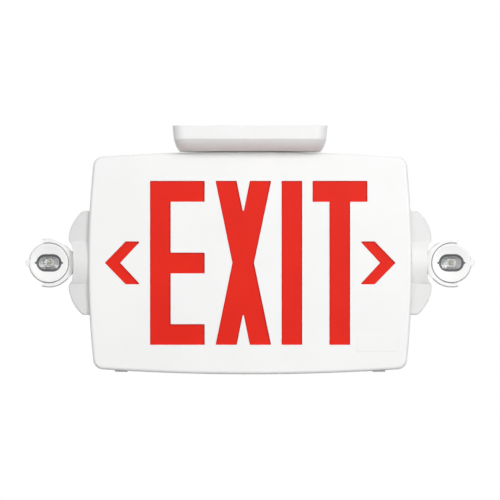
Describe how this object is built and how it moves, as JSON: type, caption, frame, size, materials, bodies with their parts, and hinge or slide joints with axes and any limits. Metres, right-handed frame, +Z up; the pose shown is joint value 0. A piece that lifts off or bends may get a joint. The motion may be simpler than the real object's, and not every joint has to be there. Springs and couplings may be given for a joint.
{
  "type": "emergency exit light",
  "caption": "Ceiling-hung exit sign housing with bowed sides, a canopy, and adjustable emergency lamp heads in yokes on side brackets.",
  "frame": {"origin": "centre of the canopy's top plane, where it meets the ceiling", "axes": "+Z up into the ceiling, the sign's face looks towards -Y, +X is the viewer's right"},
  "size_m": [0.4206, 0.118, 0.2322],
  "materials": {
    "white_moulding": "fine satin moulding",
    "red_sheet": "tinted translucent sheet",
    "white_panel": "matt moulding",
    "white_board": "white solder mask",
    "amber_chip": "phosphor over a white case",
    "zinc_steel": "bright zinc",
    "green_board": "solder mask",
    "core_steel": "varnished laminations",
    "winding_tape": "polyester tape",
    "black_sleeve": "shrink sleeve",
    "blue_case": "moulded case",
    "green_terminal": "moulded terminal",
    "battery_sleeve": "shrink sleeve",
    "button_grey": "moulded button",
    "black_plastic": "moulding",
    "status_lens": "tinted epoxy",
    "clear_lens": "clear moulded lens",
    "bright_reflector": "metallised moulding",
    "bare_aluminium": "bare"
  },
  "bodies": {
    "housing": {"housing_frame": "white_moulding", "front_face": "white_moulding", "back_plate": "white_moulding", "canopy": "white_moulding", "red_diffuser": "red_sheet", "reflector_panel": "white_panel", "panel_screws": "zinc_steel", "light_strips": "white_board", "light_strip_chips": "amber_chip", "strip_screws": "zinc_steel", "main_circuit_board": "green_board", "transformer_core": "core_steel", "transformer_winding": "winding_tape", "capacitors": "black_sleeve", "relay": "blue_case", "terminal_block": "green_terminal", "board_screws": "zinc_steel", "battery_cells": "battery_sleeve", "battery_holder": "white_panel", "holder_screws": "zinc_steel", "test_switch": "black_plastic", "status_light": "status_lens", "mounting_strap": "zinc_steel", "canopy_screws": "zinc_steel", "threaded_nipple": "zinc_steel", "nipple_nuts": "zinc_steel", "nipple_washers": "zinc_steel", "left_lamp_bracket": "white_moulding", "left_bracket_screws": "zinc_steel", "right_lamp_bracket": "white_moulding", "right_bracket_screws": "zinc_steel"},
    "left_yoke": {"left_lamp_yoke": "white_moulding", "left_yoke_washer": "zinc_steel", "left_yoke_nut": "black_plastic", "left_pivot_pins": "zinc_steel"},
    "left_head": {"left_lamp_shell": "white_moulding", "left_lamp_bezel": "white_moulding", "left_lamp_lens": "clear_lens", "left_lamp_reflector": "bright_reflector", "left_lamp_board": "white_board", "left_lamp_chip": "amber_chip", "left_heat_sink": "bare_aluminium", "left_lamp_screws": "zinc_steel"},
    "right_yoke": {"right_lamp_yoke": "white_moulding", "right_yoke_washer": "zinc_steel", "right_yoke_nut": "black_plastic", "right_pivot_pins": "zinc_steel"},
    "right_head": {"right_lamp_shell": "white_moulding", "right_lamp_bezel": "white_moulding", "right_lamp_lens": "clear_lens", "right_lamp_reflector": "bright_reflector", "right_lamp_board": "white_board", "right_lamp_chip": "amber_chip", "right_heat_sink": "bare_aluminium", "right_lamp_screws": "zinc_steel"},
    "button": {"test_button": "button_grey", "test_switch_plunger": "black_plastic"}
  },
  "joints": [
    {"name": "left_lamp_swivel", "type": "hinge", "parent": "housing", "child": "left_yoke", "pos_m": [-0.1885, -0.001, -0.128], "axis": [1, 0, 0], "range_deg": [-170, 170]},
    {"name": "left_lamp_pan", "type": "hinge", "parent": "left_yoke", "child": "left_head", "pos_m": [-0.1885, -0.001, -0.128], "axis": [0, 0, 1], "range_deg": [-60, 60]},
    {"name": "right_lamp_swivel", "type": "hinge", "parent": "housing", "child": "right_yoke", "pos_m": [0.1885, -0.001, -0.128], "axis": [1, 0, 0], "range_deg": [-170, 170]},
    {"name": "right_lamp_pan", "type": "hinge", "parent": "right_yoke", "child": "right_head", "pos_m": [0.1885, -0.001, -0.128], "axis": [0, 0, 1], "range_deg": [-60, 60]},
    {"name": "test_button_press", "type": "slide", "parent": "housing", "child": "button", "axis": [0, 0, 1], "range_m": [0, 0.001], "stiffness_N_per_m": 600, "springref_m": -0.002}
  ]
}
